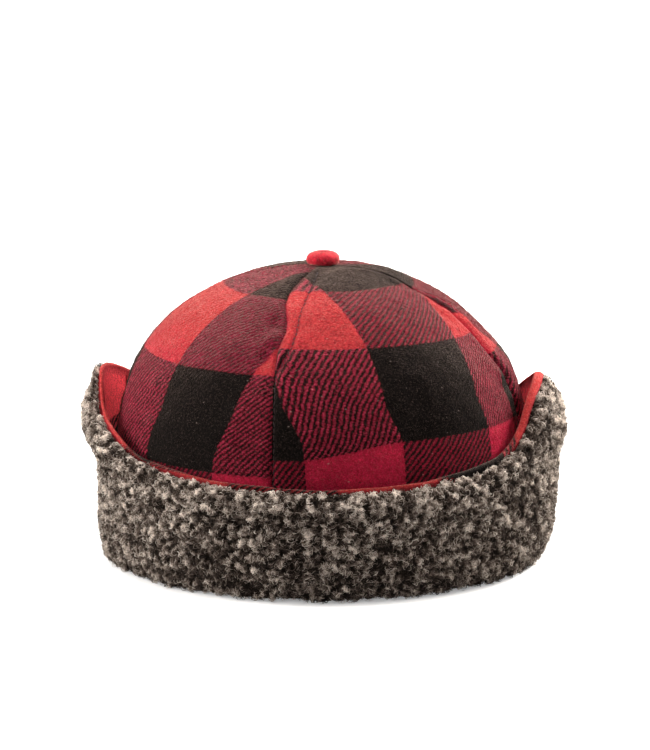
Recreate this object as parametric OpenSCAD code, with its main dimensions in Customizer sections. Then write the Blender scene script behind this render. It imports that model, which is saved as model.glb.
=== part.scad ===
// Four-panel wool winter hat with a fleece-faced cuff that turns down
// over the forehead, ears and neck, built here with the cuff turned up.
// Millimetres, +Z up. The origin is at the centre of the hat on the plane it
// rests on; the front of the hat faces -Y, and the wearer's left is +X.
// Azimuth 0 is the front and grows towards +X.

/* [Crown] */
// Outside radius of the crown at the rim
crown_r = 98.5; // [92:0.5:106]
// Height of the crown's apex above the resting plane
crown_h = 139; // [125:1:150]
// Thickness of the wool shell
shell_t = 2.4; // [1.8:0.1:2.8]
// Height at which the crown shell starts, just above the fold line
shell_base_z = 11; // [10.8:0.1:14]
// Thickness of the padded lining
lining_t = 1.7; // [1:0.1:1.8]
// Azimuth of the crown's front seam, off the middle of the forehead
crown_turn = -14; // [-20:1:20]
// Width of the tape sewn over each seam
tape_w = 14; // [8:1:20]

/* [Sweatband] */
// Height of the sweatband's lower edge
band_z = 14.6; // [14.2:0.1:20]
// Width of the sweatband
band_w = 24; // [16:1:26]
// Thickness of the sweatband
band_t = 1.1; // [0.8:0.1:1.4]

/* [Cuff] */
// Height of the fold line that the cuff turns about
fold_z = 5; // [3:0.5:5.5]
// Height of the fleece at the forehead and the neck
cuff_h = 52; // [42:1:62]
// Height of the fleece at the middle of each ear
ear_h = 87; // [70:1:94]
// Azimuth of the middle of each ear
ear_az = 90; // [80:1:100]
// Azimuth over which an ear's height dies away to the cuff's
ear_span = 62; // [50:1:70]
// How sharply each ear rises out of the cuff
ear_rise = 3.2; // [2:0.1:4]
// Pile thickness of the fleece
fleece_t = 7.5; // [6:0.5:9]
// Thickness of the cuff's wool backing
backing_t = 2.2; // [1.5:0.1:2.4]
// How far the wool backing stands above the fleece
backing_rise = 2; // [0:0.5:4]

/* [Button] */
// Radius of the covered button on the apex
button_r = 8; // [6:0.5:10]
// Height of the covered button
button_h = 5.8; // [4:0.2:8]
// Radius of the button's post
post_r = 1.6; // [1.2:0.1:1.8]

/* [Hidden] */
$fn = 96;

wool_red = [0.62, 0.09, 0.11];
wool_dark = [0.22, 0.05, 0.06];
fleece_grey = [0.47, 0.43, 0.40];
satin = [0.10, 0.09, 0.09];
band_brown = [0.30, 0.19, 0.12];
reed_black = [0.12, 0.10, 0.09];
label_white = [0.85, 0.83, 0.78];
metal = [0.72, 0.72, 0.74];

// Turn about Z that carries +X to an azimuth
function spin(azimuth) = azimuth - 90;

// ---- crown layers; depths are measured inwards from the crown's surface ----
hole_r = 2.2;              // eyelet at the apex that the button's post passes
tape_t = 0.5;
layer_gap = 0.1;           // air between two layers
tape_depth = shell_t + layer_gap;
lining_depth = tape_depth + tape_t + layer_gap;
inner_base_z = 12;         // lining and tapes stop here, above the turned fleece
panel_gap = 0.06;          // degrees between neighbouring panels
tape_gap = 0.6;            // degrees between neighbouring tapes at the apex

// Crown profile: a rounded dome, as [radius, z] at an angle from the apex
radius_power = 1.11;
height_power = 0.473;
function dome_point(angle) =
    [crown_r * pow(sin(angle), radius_power), crown_h * pow(cos(angle), height_power)];
function dome_angle_at(z) = acos(pow(z / crown_h, 1 / height_power));

// Unit normal pointing into the hat, from two nearby points of the profile
function dome_normal(angle) =
    let (step = 0.01,
         chord = dome_point(min(angle + step, 89.999)) - dome_point(angle - step),
         tangent = chord / norm(chord))
    [tangent[1], -tangent[0]];
function dome_at(angle, depth) = dome_point(angle) + depth * dome_normal(angle);

// Angles from the eyelet to the level base_z, closer together at both ends
function dome_angles(base_z) = concat(
    [2.6, 5, 8],
    [for (angle = [12:5:77]) angle],
    [for (z = [58, 48, 38, 28]) if (z > base_z + 4) dome_angle_at(z)],
    [dome_angle_at(base_z)]);

// Closed half-section of a layer, from its outer face down to its base and
// back up its inner face, with an upright edge at the eyelet
function layer_section(outer_depth, inner_depth, base_z) =
    let (angles = dome_angles(base_z),
         last = len(angles) - 1,
         outer = [for (angle = angles) dome_at(angle, outer_depth)],
         inner = [for (i = [last:-1:0]) dome_at(angles[i], inner_depth)],
         min_r = hole_r + 0.2)
    concat(
        [[hole_r, outer[0][1]]],
        [for (point = outer) if (point[0] > min_r) [point[0], max(point[1], base_z)]],
        [[outer[last][0], base_z], [inner[0][0], base_z]],
        [for (point = inner) if (point[0] > min_r && point[1] > base_z + 0.5) point],
        [[hole_r, inner[last][1]]]);

// Quarter of a layer that starts at an azimuth from the front seam, less half
// of the gap (in degrees) at each side
module quarter_layer(depth, thickness, base_z, start, gap) {
    rotate([0, 0, spin(start + gap / 2 + crown_turn)])
        rotate_extrude(angle = 90 - gap)
            polygon(layer_section(depth, depth + thickness, base_z));
}

module crown_panel(quarter) {
    color(wool_red) quarter_layer(0, shell_t, shell_base_z, 90 * quarter, panel_gap);
}

module lining_panel(quarter) {
    color(satin) quarter_layer(lining_depth, lining_t, inner_base_z, 90 * quarter, panel_gap);
}

// Tape over the inside of a seam, clear of the tapes beside it at the apex
module seam_tape(quarter) {
    seam = 90 * quarter;
    margin = 5;
    color(satin) intersection() {
        quarter_layer(tape_depth, tape_t, inner_base_z, seam - 45, tape_gap);
        rotate([0, 0, spin(seam + crown_turn)])
            translate([0, -tape_w / 2, 0])
                cube([crown_r + margin, tape_w, crown_h + margin]);
    }
}

// ---- sweatband ----
band_r = crown_r - lining_depth - lining_t - 0.55;   // outer face
reed_r = 0.7;
reed_gap = 0.15;           // air between the reed and the band's lower edge
label_t = 0.34;
label_h = 15;
label_span = 18;           // degrees
label_gap = 0.02;          // air between the label and the band
label_rise = 6;            // label's lower edge above the band's

module sweatband() {
    color(band_brown) rotate_extrude()
        translate([band_r - band_t, band_z]) square([band_t, band_w]);
}

// Cord along the sweatband's lower edge
module sweatband_reed() {
    color(reed_black) rotate_extrude()
        translate([band_r - band_t / 2, band_z - reed_gap - reed_r]) circle(r = reed_r);
}

// Blank woven label on the inside of the sweatband, at the back
module size_label() {
    color(label_white) rotate([0, 0, spin(180 - label_span / 2)])
        rotate_extrude(angle = label_span)
            translate([band_r - band_t - label_gap - label_t, band_z + label_rise])
                square([label_t, label_h]);
}

// ---- button ----
button_z = crown_h + 0.15;
cover_t = 0.8;             // cover's side and top
cover_floor = 0.6;         // cover's turned-in lip
lip_w = 1;                 // lip's reach inside the cover's side
shell_r = button_r - cover_t - 0.05;
shell_h = button_h - 1.5;
button_shell_z = button_z + cover_floor + 0.02;
button_shell_t = 0.5;
head_r = button_r - 1.4;
head_t = 0.7;
head_z = button_z + 0.7;
shaft_z = crown_h - 7;
shaft_h = 8;
foot_r = post_r + 1.2;
foot_t = 0.7;
foot_z = shaft_z - 0.6;
washer_r = 6.5;
washer_t = 0.8;
washer_z = crown_h - 6.4;
washer_clearance = 0.1;

// Half-section of a cap with a rounded shoulder
module cap_profile(radius, height, base_z) {
    shoulder = 0.55 * height;
    side_h = height - shoulder;
    intersection() {
        translate([0, base_z]) square([radius, height]);
        union() {
            translate([0, base_z]) square([radius, side_h]);
            translate([radius - shoulder, base_z + side_h]) circle(r = shoulder);
            translate([0, base_z]) square([radius - shoulder, height]);
        }
    }
}

module button_cover() {
    cavity_r = button_r - cover_t;
    cavity_h = button_h - cover_t - cover_floor;
    overcut = 1;
    color(wool_red) rotate_extrude() difference() {
        cap_profile(button_r, button_h, button_z);
        cap_profile(cavity_r, cavity_h, button_z + cover_floor);
        // Opening in the underside
        translate([-overcut, button_z - overcut])
            square([cavity_r - lip_w + overcut, 2 * overcut]);
    }
}

// Metal cap inside the cover, open underneath
module button_shell() {
    color(metal) rotate_extrude() difference() {
        cap_profile(shell_r, shell_h, button_shell_z);
        cap_profile(shell_r - button_shell_t, shell_h - button_shell_t, button_z + cover_floor);
    }
}

// Head inside the button, shaft through the apex and foot inside the crown
module button_post() {
    color(metal) {
        translate([0, 0, head_z]) cylinder(r = head_r, h = head_t);
        translate([0, 0, shaft_z]) cylinder(r = post_r, h = shaft_h);
        translate([0, 0, foot_z]) cylinder(r = foot_r, h = foot_t);
    }
}

module button_washer() {
    color(metal) translate([0, 0, washer_z]) difference() {
        cylinder(r = washer_r, h = washer_t);
        translate([0, 0, -1]) cylinder(r = post_r + washer_clearance, h = 3);
    }
}

// ---- cuff: sixteen hinged sections, four to a flap ----
// Offsets are measured outwards from the fold line's radius.
section_count = 16;
half_angle = 180 / section_count;
fold_r = crown_r + 0.8;    // radius of the fold line
backing_offset = 0.8;      // backing's inner face
fleece_offset = backing_offset + backing_t + 0.4;
end_gap = 0.85;            // cut from each end of a section
blank_h = 110;             // height of a layer before its top is trimmed
sweep_margin = 4;          // degrees swept past each end before trimming
roll_ratio = 0.78;         // radius of the fleece's rolled lower edge, in pile thicknesses

function section_az(flap, i) = 90 * flap - 45 + half_angle * (2 * i + 1);

// Azimuth between a place on the cuff and the middle of the nearer ear
function ear_distance(azimuth) =
    let (from_front = abs((azimuth + 540) % 360 - 180)) abs(from_front - ear_az);
function cuff_top(azimuth) =
    let (distance = ear_distance(azimuth))
    cuff_h + (distance < ear_span
        ? (ear_h - cuff_h) * pow(cos(90 * distance / ear_span), ear_rise)
        : 0);

// Half-width of a section; it narrows outwards by as much as the circle widens
function half_width(offset) = (fold_r - offset) * tan(half_angle) - end_gap;

// Block that trims a section: its top follows the cuff's height, and its ends
// lean in towards the outside, so that turned-down neighbours stay apart
module section_trim(azimuth, inner, outer, rise) {
    near = inner - 6;
    far = outer + 3;
    slab_margin = 8;
    top_step = 6;          // spacing of the points along the top edge
    top_steps = 5;         // steps to each side of the middle
    top_reach = top_step * top_steps;
    intersection() {
        translate([0, 0, -1]) linear_extrude(height = 120)
            polygon([
                [fold_r + near, -half_width(near)], [fold_r + far, -half_width(far)],
                [fold_r + far, half_width(far)], [fold_r + near, half_width(near)]]);
        translate([fold_r + inner - slab_margin, 0, 0]) rotate([90, 0, 90])
            linear_extrude(height = outer - inner + 2 * slab_margin)
                polygon(concat(
                    [[top_reach, -1], [-top_reach, -1]],
                    [for (k = [-top_steps:top_steps])
                        let (across = k * top_step)
                        [across, cuff_top(azimuth + atan(across / (fold_r + outer))) + rise]]));
    }
}

// Sweeps the child half-section along one section of the cuff and trims it
module section_layer(azimuth, offset, thickness, rise) {
    rotate([0, 0, spin(azimuth)]) intersection() {
        rotate([0, 0, -half_angle - sweep_margin])
            rotate_extrude(angle = 2 * (half_angle + sweep_margin)) children();
        section_trim(azimuth, offset, offset + thickness, rise);
    }
}

module flap_backing(flap, i) {
    color(wool_dark)
        section_layer(section_az(flap, i), backing_offset, backing_t, backing_rise)
            translate([fold_r + backing_offset, fold_z]) square([backing_t, blank_h]);
}

// Fleece with its outer lower edge rolled
module flap_fleece(flap, i) {
    inner_r = fold_r + fleece_offset;
    roll_r = roll_ratio * fleece_t;
    flat_t = fleece_t - roll_r;
    color(fleece_grey) section_layer(section_az(flap, i), fleece_offset, fleece_t, 0)
        intersection() {
            translate([inner_r, 0]) square([fleece_t, blank_h]);
            union() {
                translate([inner_r, 0]) square([flat_t, blank_h]);
                translate([inner_r, roll_r]) square([fleece_t, blank_h - roll_r]);
                translate([inner_r + flat_t, roll_r]) circle(r = roll_r);
            }
        }
}

crown_panel(0);  // crown_panel_front_left
crown_panel(1);  // crown_panel_back_left
crown_panel(2);  // crown_panel_back_right
crown_panel(3);  // crown_panel_front_right
lining_panel(0);  // lining_panel_front_left
lining_panel(1);  // lining_panel_back_left
lining_panel(2);  // lining_panel_back_right
lining_panel(3);  // lining_panel_front_right
seam_tape(0);  // seam_tape_front
seam_tape(1);  // seam_tape_left
seam_tape(2);  // seam_tape_back
seam_tape(3);  // seam_tape_right
sweatband();
sweatband_reed();
size_label();
button_cover();
button_shell();
button_post();
button_washer();
flap_fleece(0, 0);  // front_flap_fleece_1
flap_fleece(0, 1);  // front_flap_fleece_2
flap_fleece(0, 2);  // front_flap_fleece_3
flap_fleece(0, 3);  // front_flap_fleece_4
flap_backing(0, 0);  // front_flap_backing_1
flap_backing(0, 1);  // front_flap_backing_2
flap_backing(0, 2);  // front_flap_backing_3
flap_backing(0, 3);  // front_flap_backing_4
flap_fleece(1, 0);  // left_ear_flap_fleece_1
flap_fleece(1, 1);  // left_ear_flap_fleece_2
flap_fleece(1, 2);  // left_ear_flap_fleece_3
flap_fleece(1, 3);  // left_ear_flap_fleece_4
flap_backing(1, 0);  // left_ear_flap_backing_1
flap_backing(1, 1);  // left_ear_flap_backing_2
flap_backing(1, 2);  // left_ear_flap_backing_3
flap_backing(1, 3);  // left_ear_flap_backing_4
flap_fleece(2, 0);  // back_flap_fleece_1
flap_fleece(2, 1);  // back_flap_fleece_2
flap_fleece(2, 2);  // back_flap_fleece_3
flap_fleece(2, 3);  // back_flap_fleece_4
flap_backing(2, 0);  // back_flap_backing_1
flap_backing(2, 1);  // back_flap_backing_2
flap_backing(2, 2);  // back_flap_backing_3
flap_backing(2, 3);  // back_flap_backing_4
flap_fleece(3, 0);  // right_ear_flap_fleece_1
flap_fleece(3, 1);  // right_ear_flap_fleece_2
flap_fleece(3, 2);  // right_ear_flap_fleece_3
flap_fleece(3, 3);  // right_ear_flap_fleece_4
flap_backing(3, 0);  // right_ear_flap_backing_1
flap_backing(3, 1);  // right_ear_flap_backing_2
flap_backing(3, 2);  // right_ear_flap_backing_3
flap_backing(3, 3);  // right_ear_flap_backing_4
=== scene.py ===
# A buffalo-check wool cap: four crown panels, a covered top button, a quilted lining and a
# raised cuff of curly fleece on a wool backing, highest at the ears.
# It stands upright with its opening near z = 0. The front faces -Y, the wearer's left is +X.
# Meshes are worked out in millimetres. Azimuths are degrees from the front, growing towards +X.
import bpy
import math
import numpy as np
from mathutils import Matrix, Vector


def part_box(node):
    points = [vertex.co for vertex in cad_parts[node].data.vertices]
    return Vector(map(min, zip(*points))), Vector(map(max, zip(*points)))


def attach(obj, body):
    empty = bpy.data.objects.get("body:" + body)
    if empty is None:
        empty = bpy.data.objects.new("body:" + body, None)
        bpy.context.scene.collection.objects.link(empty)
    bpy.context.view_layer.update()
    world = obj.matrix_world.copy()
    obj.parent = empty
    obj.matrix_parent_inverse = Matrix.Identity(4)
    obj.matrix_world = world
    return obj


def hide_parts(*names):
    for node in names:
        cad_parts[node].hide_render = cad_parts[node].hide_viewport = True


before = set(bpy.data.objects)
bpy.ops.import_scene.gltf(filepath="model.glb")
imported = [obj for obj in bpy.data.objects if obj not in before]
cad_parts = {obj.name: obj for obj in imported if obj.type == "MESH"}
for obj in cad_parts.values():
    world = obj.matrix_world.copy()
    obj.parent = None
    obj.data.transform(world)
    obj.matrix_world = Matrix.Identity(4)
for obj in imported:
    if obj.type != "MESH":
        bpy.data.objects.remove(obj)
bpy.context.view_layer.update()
bpy.context.scene.view_settings.view_transform = "Standard"
bpy.context.scene.view_settings.look = "None"

# ------------------------------------------------------------------ sizes, millimetres
MM = 0.001                                      # metres in a millimetre
CROWN_RADIUS = 98.5
CROWN_HEIGHT = 139.0
RADIUS_POWER, HEIGHT_POWER = 1.11, 0.473        # roundness of the dome's profile
RIM_Z = 5.4                                     # lower edge of the crown panels
FIRST_SEAM = -14.0                              # nominal azimuth of the front seam
HALF_PANEL = 45                                 # degrees
CHECK = 46.0                                    # side of one check
FOLD_RADIUS, FOLD_Z = 99.3, 5.0                 # fold at the foot of the cuff
WOOL_RADIUS = FOLD_RADIUS + 0.8
WOOL_THICK = 2.2
FLEECE_RADIUS = WOOL_RADIUS + WOOL_THICK + 0.4
PILE = 6.1                                      # thickness of the fleece
HALF_SECTION = 11.25                            # degrees; each flap has four sections
CURL_AREA = 0.80         # square millimetres of fleece to a curl
NAP_COUNT = 9000        # loose fibres on each crown panel

PANELS = ["front_left", "back_left", "back_right", "front_right"]
SEAM_NAMES = ["front", "left", "back", "right"]
FLAPS = ["front_flap", "left_ear_flap", "back_flap", "right_ear_flap"]


# ------------------------------------------------------------------ shaping helpers
def smooth(low, high, x):
    t = np.clip((x - low) / (high - low), 0, 1)
    return t * t * (3 - 2 * t)


def bell(x, centre, width):
    return np.exp(-((x - centre) / width) ** 2)


def relax(values, rounds):
    """Smooths values in place, keeping the two ends."""
    for _ in range(rounds):
        values[1:-1] = (values[:-2] + 2 * values[1:-1] + values[2:]) / 4


def smooth_table(knots, grid, rounds):
    values = np.interp(grid, *zip(*knots))
    relax(values, rounds)
    return grid, values


def wrap(azim):
    return ((np.asarray(azim, float) + 540) % 360) - 180


def near(angle, other):
    """The angle written within half a turn of the other."""
    return other + ((angle - other + 180) % 360) - 180


def place(azim, radius, z):
    """Point, or direction, from its azimuth, radial part and height."""
    turn = np.radians(azim)
    return np.stack([radius * np.sin(turn), -radius * np.cos(turn), z + 0 * turn], -1)


def unit(vectors, guard=0.0):
    return vectors / (np.linalg.norm(vectors, axis=-1, keepdims=True) + guard)


def path_length(points):
    step = np.diff(points, axis=0)
    return np.concatenate([[0], np.cumsum(np.hypot(step[:, 0], step[:, 1]))])


# ------------------------------------------------------------------ noise
def lattice_random(cell, seed):
    """Repeatable number from 0 to 1 for each whole-number cell (..., 3)."""
    mixed = (cell * (374761393, 668265263, 2147483647)).sum(-1)
    mixed = (mixed + seed * 1274126177) & 0xFFFFFFFF
    mixed = (mixed ^ (mixed >> 13)) * 1274126177 & 0xFFFFFFFF
    mixed = (mixed ^ (mixed >> 16)) * 2246822519 & 0xFFFFFFFF
    mixed = mixed ^ (mixed >> 15)
    return (mixed & 0xFFFFFF) / float(0xFFFFFF)


def value_noise(points, size, seed):
    """Value noise from -1 to 1 on a lattice of that size."""
    scaled = np.asarray(points, float) / size
    cell = np.floor(scaled).astype(np.int64)
    part = scaled - cell
    part = part * part * part * (part * (part * 6 - 15) + 10)
    total = 0
    for corner in np.ndindex(2, 2, 2):
        weight = np.where(corner, part, 1 - part).prod(-1)
        total = total + weight * lattice_random(cell + corner, seed)
    return total * 2 - 1


def layered_noise(points, size, seed, octaves):
    """Value noise summed over octaves, each half the size and strength of the last."""
    total, strength, whole = 0, 1.0, 0.0
    for k in range(octaves):
        total = total + strength * value_noise(points, size / 2 ** k, seed + 17 * k)
        whole += strength
        strength *= 0.5
    return total / whole


def nearest_speck(points, size, seed):
    """Distance to the nearest scattered speck, in cell sizes, and that speck's random number."""
    scaled = np.asarray(points, float) / size
    home = np.floor(scaled).astype(np.int64)
    best = np.full(scaled.shape[:-1], 9.0)
    number = np.zeros(scaled.shape[:-1])
    for step in np.ndindex(3, 3, 3):
        cell = home + step - 1
        speck = cell + np.stack([lattice_random(cell, seed + n) for n in range(3)], -1)
        distance = ((scaled - speck) ** 2).sum(-1)
        number = np.where(distance < best, lattice_random(cell, seed + 3), number)
        best = np.minimum(best, distance)
    return np.sqrt(best), number


# ------------------------------------------------------------------ mesh building
def make_mesh(name, verts, faces, material, attributes=None):
    """A smooth mesh object from millimetre verts and a list of face arrays."""
    mesh = bpy.data.meshes.new(name)
    verts = np.asarray(verts, np.float32) * MM
    faces = [np.asarray(block, np.int32) for block in faces]
    corners = np.concatenate([block.ravel() for block in faces])
    sizes = np.concatenate([np.full(len(block), block.shape[1], np.int32) for block in faces])
    mesh.vertices.add(len(verts))
    mesh.vertices.foreach_set("co", verts.ravel())
    mesh.loops.add(len(corners))
    mesh.loops.foreach_set("vertex_index", corners)
    mesh.polygons.add(len(sizes))
    start = np.concatenate([[0], np.cumsum(sizes)[:-1]]).astype(np.int32)
    mesh.polygons.foreach_set("loop_start", start)
    mesh.polygons.foreach_set("use_smooth", np.full(len(sizes), True))
    mesh.update(calc_edges=True)
    mesh.validate()
    for key, values in (attributes or {}).items():
        values = np.asarray(values, np.float32)
        if values.ndim == 1:
            layer = mesh.attributes.new(key, "FLOAT", "POINT")
            layer.data.foreach_set("value", values)
        else:
            layer = mesh.attributes.new(key, "FLOAT_VECTOR", "POINT")
            layer.data.foreach_set("vector", values.ravel())
    mesh.materials.append(material)
    return add_object(name, mesh)


def add_object(name, data):
    thing = bpy.data.objects.new(name, data)
    bpy.context.scene.collection.objects.link(thing)
    return thing


def dress(thing, body, replaced=None):
    """Hides the frame piece that the object replaces and hangs the object on the empty of the
    body it rides.
    """
    if replaced:
        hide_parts(replaced)
    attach(thing, body)


def grid_faces(rows, columns, base=0, closed_rows=False, closed_columns=False, flip=False):
    """Quads of a grid of points stored row by row."""
    row, column = np.meshgrid(np.arange(rows if closed_rows else rows - 1),
                              np.arange(columns if closed_columns else columns - 1),
                              indexing="ij")
    this, after = row * columns, (row + 1) % rows * columns
    right = (column + 1) % columns
    quads = np.stack([this + column, after + column, after + right, this + right], -1)
    quads = quads.reshape(-1, 4) + base
    return quads[:, ::-1] if flip else quads


def slab(outer, inner):
    """Verts and faces of the closed solid between two (rows, columns, 3) grids."""
    rows, columns = outer.shape[:2]
    verts = np.concatenate([outer.reshape(-1, 3), inner.reshape(-1, 3)])
    layer = rows * columns

    def wall(edge, flip):
        quads = np.stack([edge[:-1], edge[1:], edge[1:] + layer, edge[:-1] + layer], -1)
        return quads[:, ::-1] if flip else quads
    row, column = np.arange(rows), np.arange(columns)
    return verts, [grid_faces(rows, columns), grid_faces(rows, columns, layer, flip=True),
                   wall(column, False), wall((rows - 1) * columns + column, True),
                   wall(row * columns, True), wall(row * columns + columns - 1, False)]


def capped(values):
    """Point values of a loft's rings, carried on to its two end caps."""
    first, last = values[0], values[-1]
    return np.concatenate([values.reshape((-1,) + values.shape[2:]),
                           first, first.mean(0)[None], last, last.mean(0)[None]])


def loft(rings):
    """Closed tube through (count, points, 3) rings, with flat end caps."""
    count, size = rings.shape[:2]
    j = np.arange(size)
    after = (j + 1) % size
    start = count * size
    end = start + size + 1
    cap_start = np.stack([np.full(size, start + size), start + after, start + j], -1)
    cap_end = np.stack([np.full(size, end + size), end + j, end + after], -1)
    sides = grid_faces(count, size, closed_columns=True, flip=True)
    return capped(rings), [sides, cap_start, cap_end]


def tubes(paths, radius, sides, seed):
    """Verts and faces of thin tubes, tapered at the tips, along (count, steps, 3) paths."""
    count, steps = paths.shape[:2]
    forward = unit(np.gradient(paths, axis=1), 1e-9)
    random = np.random.default_rng(seed).normal(size=(count, 1, 3))
    side = unit(random - (random * forward).sum(2, keepdims=True) * forward, 1e-9)
    other = np.cross(forward, side)
    turn = (np.arange(sides) * 2 * np.pi / sides)[:, None]
    taper = np.ones(steps)
    taper[[0, -1]] = 0.45
    thick = np.broadcast_to(radius, count)[:, None] * taper
    ring = side[:, :, None] * np.cos(turn) + other[:, :, None] * np.sin(turn)
    ring = ring * thick[:, :, None, None] + paths[:, :, None]
    first = (np.arange(count) * steps * sides)[:, None]
    j = np.arange(sides)
    this = first[:, :, None] + np.arange(steps - 1)[:, None] * sides
    after = (j + 1) % sides
    quads = np.stack([this + j, this + after, this + sides + after, this + sides + j], -1)
    caps = np.concatenate([first + j[::-1], first + (steps - 1) * sides + j])
    return ring.reshape(-1, 3), [quads.reshape(-1, 4), caps]


# ------------------------------------------------------------------ fibre helpers
def scatter(rng, weights, count):
    """Picks grid cells by weight, and returns their indices and a sampler of point grids."""
    pick = rng.choice(weights.size, count, p=(weights / weights.sum()).ravel())
    i, j = np.unravel_index(pick, weights.shape)
    down, across = rng.random((count, 1)), rng.random((count, 1))

    def sample(grid):
        return (grid[i, j] * ((1 - down) * (1 - across)) + grid[i + 1, j] * (down * (1 - across))
                + grid[i, j + 1] * ((1 - down) * across) + grid[i + 1, j + 1] * (down * across))
    return i, j, sample


def random_tangents(rng, normals):
    """Random directions square to the normals, not of unit length."""
    along = rng.normal(size=normals.shape)
    return along - (along * normals).sum(1, keepdims=True) * normals


def offset_paths(roots, *moves):
    """Paths from roots; each move is an axis per root and (count, steps) distances along it."""
    paths = roots[:, None]
    for axis, distance in moves:
        paths = paths + axis[:, None] * distance[..., None]
    return paths


# ------------------------------------------------------------------ materials
class Shader:
    """A principled material and short ways to add nodes to it."""

    def __init__(self, name):
        self.material = bpy.data.materials.new(name)
        self.material.use_nodes = True
        self.tree = self.material.node_tree

    def node(self, kind, **settings):
        node = self.tree.nodes.new(kind)
        for key, value in settings.items():
            setattr(node, key, value)
        return node

    def put(self, socket, value):
        """Links a socket, or sets a value; a colour gets its alpha."""
        if isinstance(value, bpy.types.NodeSocket):
            self.tree.links.new(value, socket)
        elif isinstance(value, tuple) and socket.type == "RGBA":
            socket.default_value = (*value, 1)
        else:
            socket.default_value = value

    def fill(self, node, inputs, output=0):
        """Sets inputs by their names or indices and returns one output."""
        for key, value in inputs.items():
            self.put(node.inputs[key], value)
        return node.outputs[output]

    def finish(self, **inputs):
        """Sets the principled inputs, named with _ for a space, and returns the material."""
        for key, value in inputs.items():
            self.put(self.tree.nodes["Principled BSDF"].inputs[key.replace("_", " ")], value)
        return self.material

    def math(self, operation, a, b=0.0, clamp=False):
        node = self.node("ShaderNodeMath", operation=operation, use_clamp=clamp)
        return self.fill(node, {0: a, 1: b, 2: 0.0})

    def add(self, a, b):
        return self.math("ADD", a, b)

    def sub(self, a, b):
        return self.math("SUBTRACT", a, b)

    def mul(self, a, b):
        return self.math("MULTIPLY", a, b)

    def invert(self, x):
        return self.sub(1.0, x)

    def swing(self, x, amount):
        """A 0 to 1 value recentred on 0 and scaled."""
        return self.mul(self.sub(x, 0.5), amount)

    def wave(self, operation, x, rate):
        """Sine or cosine of x times rate, brought to 0 to 1."""
        return self.add(0.5, self.mul(self.math(operation, self.mul(x, rate)), 0.5))

    def mix(self, factor, a, b):
        return self.fill(self.node("ShaderNodeMix", data_type="RGBA"), {0: factor, 6: a, 7: b}, 2)

    def mix_value(self, factor, a, b):
        return self.fill(self.node("ShaderNodeMix", data_type="FLOAT"), {0: factor, 2: a, 3: b})

    def step(self, x, edge, soft):
        """0 below the edge, 1 above, over a soft half-width."""
        node = self.node("ShaderNodeMapRange", interpolation_type="SMOOTHSTEP")
        return self.fill(node, {0: x, 1: edge - soft, 2: edge + soft})

    def remap(self, x, source, result):
        """Carries the source range (low, high) of x on to the result range."""
        return self.fill(self.node("ShaderNodeMapRange"),
                         dict(enumerate((x, *source, *result))))

    def attribute(self, name, output="Fac"):
        return self.node("ShaderNodeAttribute", attribute_name=name).outputs[output]

    def split(self, vector):
        node = self.node("ShaderNodeSeparateXYZ")
        self.put(node.inputs[0], vector)
        return node.outputs

    def position(self):
        return self.node("ShaderNodeTexCoord").outputs["Object"]

    def stretch(self, vector, *factors):
        return self.fill(self.node("ShaderNodeVectorMath", operation="MULTIPLY"),
                         {0: vector, 1: list(factors)})

    def noise(self, vector, scale, detail, rough=0.5):
        return self.fill(self.node("ShaderNodeTexNoise"),
                         {"Vector": vector, "Scale": scale, "Detail": detail,
                          "Roughness": rough}, "Fac")

    def specks(self, vector, scale, radius, soft):
        """1 in small round specks, 0 elsewhere."""
        distance = self.fill(self.node("ShaderNodeTexVoronoi"),
                             {"Vector": vector, "Scale": scale}, "Distance")
        return self.invert(self.step(distance, radius, soft))

    def bump(self, height, distance, strength=1.0, **normal):
        """Distance is in metres."""
        return self.fill(self.node("ShaderNodeBump"),
                         {"Strength": strength, "Distance": distance, "Height": height, **normal})

    def brighten(self, colour, value):
        return self.fill(self.node("ShaderNodeHueSaturation"), {"Color": colour, "Value": value})

    def ramp(self, amount, stops):
        """Colour ramp through (position, colour) stops."""
        node = self.node("ShaderNodeValToRGB")
        points = node.color_ramp.elements
        for point, (position, colour) in zip(points, (stops[0], stops[-1])):
            point.position, point.color = position, (*colour, 1)
        for position, colour in stops[1:-1]:
            points.new(position).color = (*colour, 1)
        return self.fill(node, {0: amount}, "Color")


def check_stripe(mat, x):
    """1 across every other check, with a softened edge."""
    part = mat.math("FRACT", mat.mul(x, 0.5))
    distance = mat.math("ABSOLUTE", mat.sub(part, 0.25))
    inside = mat.invert(mat.step(distance, edge=0.25, soft=0.004))
    return mat.math("MAXIMUM", inside, mat.step(part, edge=0.996, soft=0.004))


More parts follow.
